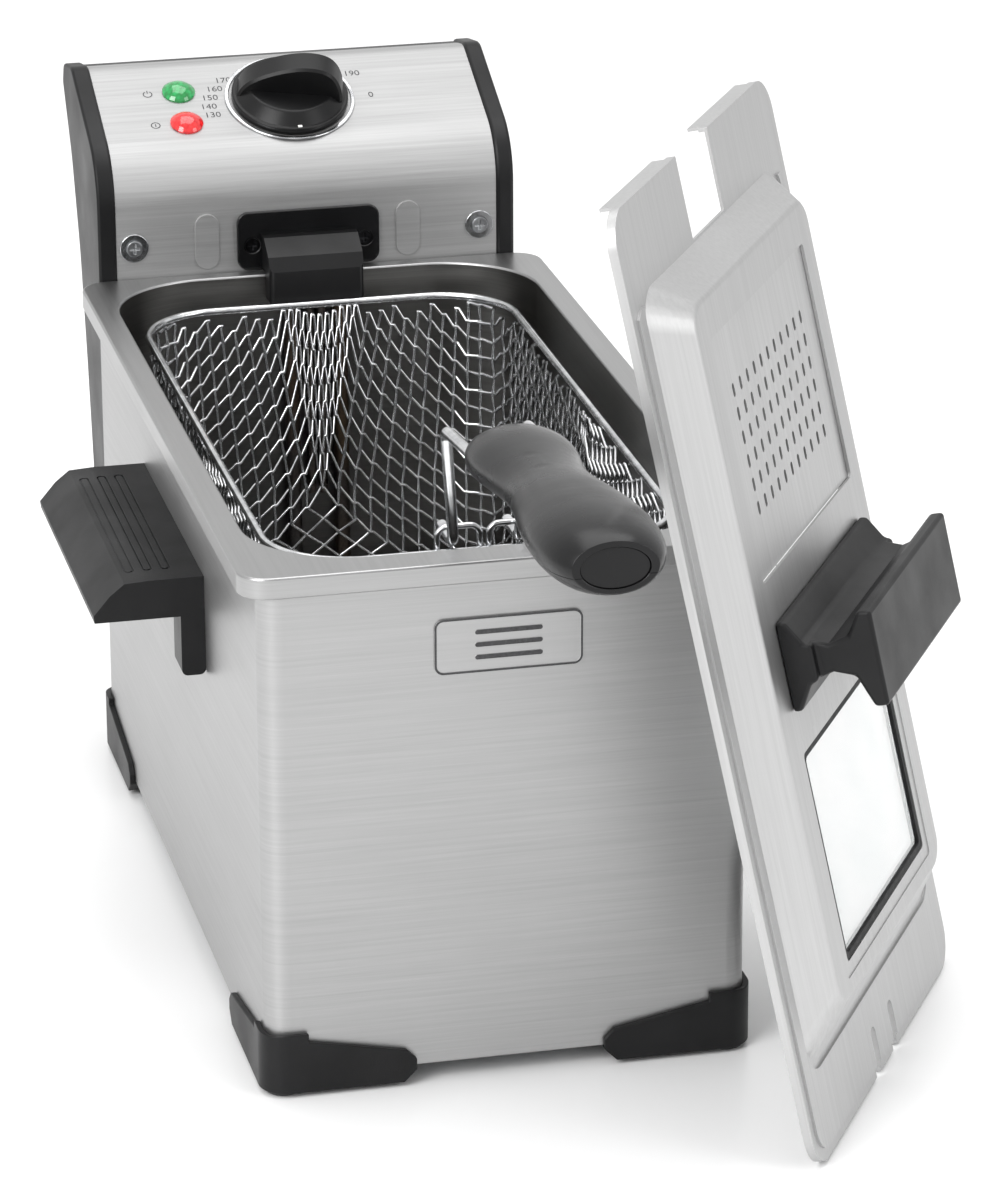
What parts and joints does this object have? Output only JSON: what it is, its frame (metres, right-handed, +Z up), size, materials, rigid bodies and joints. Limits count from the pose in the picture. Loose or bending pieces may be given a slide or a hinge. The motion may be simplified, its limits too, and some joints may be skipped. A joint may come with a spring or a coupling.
{
  "type": "deep fryer",
  "caption": "Table-top deep fryer: steel housing, lift-out oil tank and control unit with element, wire basket with detachable handle, and a windowed lid leaning at its side.",
  "frame": {"origin": "on the table, in the middle of the whole object's footprint, lid and basket handle included", "axes": "+Z up, +X to the user's right, -Y towards the user, so the basket handle points along -Y"},
  "size_m": [0.3333, 0.6302, 0.3615],
  "materials": {
    "housing_steel": "satin, fine horizontal grain",
    "base_steel": "galvanised sheet",
    "panel_steel": "satin, fine horizontal grain",
    "tank_steel": "satin, deep drawn",
    "lid_steel": "satin, pressed",
    "vent_steel": "satin, punched",
    "bright_steel": "zinc plated",
    "washer_chrome": "bright plated",
    "dark_screw": "blackened steel",
    "wire_chrome": "bright plated wire",
    "element_steel": "heat-tinted sheath",
    "probe_copper": "copper bulb and capillary",
    "moulded_black": "fine spark-eroded texture",
    "gloss_black": "polished moulding",
    "grip_black": "soft satin moulding",
    "knob_black": "satin moulding",
    "pointer_white": "printed mark",
    "pad_rubber": "moulded rubber",
    "seal_rubber": "moulded rubber",
    "badge_steel": "silvered plate with raised waves",
    "lamp_green": "translucent lens",
    "lamp_red": "translucent lens",
    "reset_red": "polished moulding",
    "pane_glass": "clear toughened glass",
    "filter_felt": "fibre felt",
    "part_cream": "heat-proof moulding"
  },
  "bodies": {
    "housing": {"housing_shell": "housing_steel", "base_plate": "base_steel", "foot_front_left": "moulded_black", "foot_front_right": "moulded_black", "foot_back_left": "moulded_black", "foot_back_right": "moulded_black", "foot_pads": "pad_rubber", "foot_screws": "bright_steel", "carry_handle_left": "moulded_black", "carry_handle_right": "moulded_black", "handle_rivets": "bright_steel", "badge_plate": "badge_steel"},
    "tank": {"oil_tank": "tank_steel"},
    "control_unit": {"control_panel": "panel_steel", "back_cover": "moulded_black", "end_cap_left": "moulded_black", "end_cap_right": "moulded_black", "panel_screws": "bright_steel", "panel_washers": "washer_chrome", "escutcheon_plate": "gloss_black", "escutcheon_screws": "dark_screw", "element_bracket_cover": "moulded_black", "element_flange": "bright_steel", "element_legs": "element_steel", "heating_element": "element_steel", "element_clamps": "bright_steel", "sensor_bulbs": "probe_copper", "thermostat_body": "part_cream", "terminal_block": "part_cream", "thermal_cutout": "part_cream", "interlock_switch": "part_cream", "cord_inlet": "moulded_black", "reset_collar": "moulded_black", "lamp_red": "lamp_red", "lamp_green": "lamp_green", "dial_ring": "washer_chrome"},
    "dial_knob": {"knob": "knob_black", "knob_pointer": "pointer_white", "knob_shaft": "bright_steel"},
    "reset": {"reset_button": "reset_red"},
    "basket": {"basket_mesh": "wire_chrome", "basket_rim": "wire_chrome", "handle_arches": "wire_chrome", "basket_runners": "wire_chrome"},
    "basket_handle": {"handle_legs": "wire_chrome", "grip_upper": "grip_black", "grip_lower": "grip_black", "grip_end_cap": "grip_black"},
    "lid": {"lid_panel": "lid_steel", "vent_plate": "vent_steel", "odour_filter": "filter_felt", "filter_tray": "vent_steel", "window_seal": "seal_rubber", "window_pane": "pane_glass", "lid_handle": "moulded_black", "lid_screws": "bright_steel"}
  },
  "joints": [
    {"name": "tank_lift", "type": "slide", "parent": "housing", "child": "tank", "axis": [0, 0, 1], "range_m": [0, 0.18]},
    {"name": "control_unit_lift", "type": "slide", "parent": "tank", "child": "control_unit", "axis": [0, 0, 1], "range_m": [0, 0.17]},
    {"name": "basket_lift", "type": "slide", "parent": "control_unit", "child": "basket", "axis": [0, 0, 1], "range_m": [0, 0.16]},
    {"name": "basket_handle_pull", "type": "slide", "parent": "basket", "child": "basket_handle", "axis": [0, -1, 0], "range_m": [0, 0.02]},
    {"name": "knob_turn", "type": "hinge", "parent": "control_unit", "child": "dial_knob", "pos_m": [-0.02816, 0.26289, 0.27767], "axis": [0, -0.4067, 0.9135], "range_deg": [-270, 0]},
    {"name": "reset_press", "type": "slide", "parent": "control_unit", "child": "reset", "axis": [0, -0.9948, 0.1019], "range_m": [0, 0.0025], "stiffness_N_per_m": 400, "springref_m": -0.001},
    {"name": "lid_take_away", "type": "slide", "parent": "tank", "child": "lid", "axis": [0.8541, -0.5201, 0], "range_m": [0, 0.15]}
  ]
}
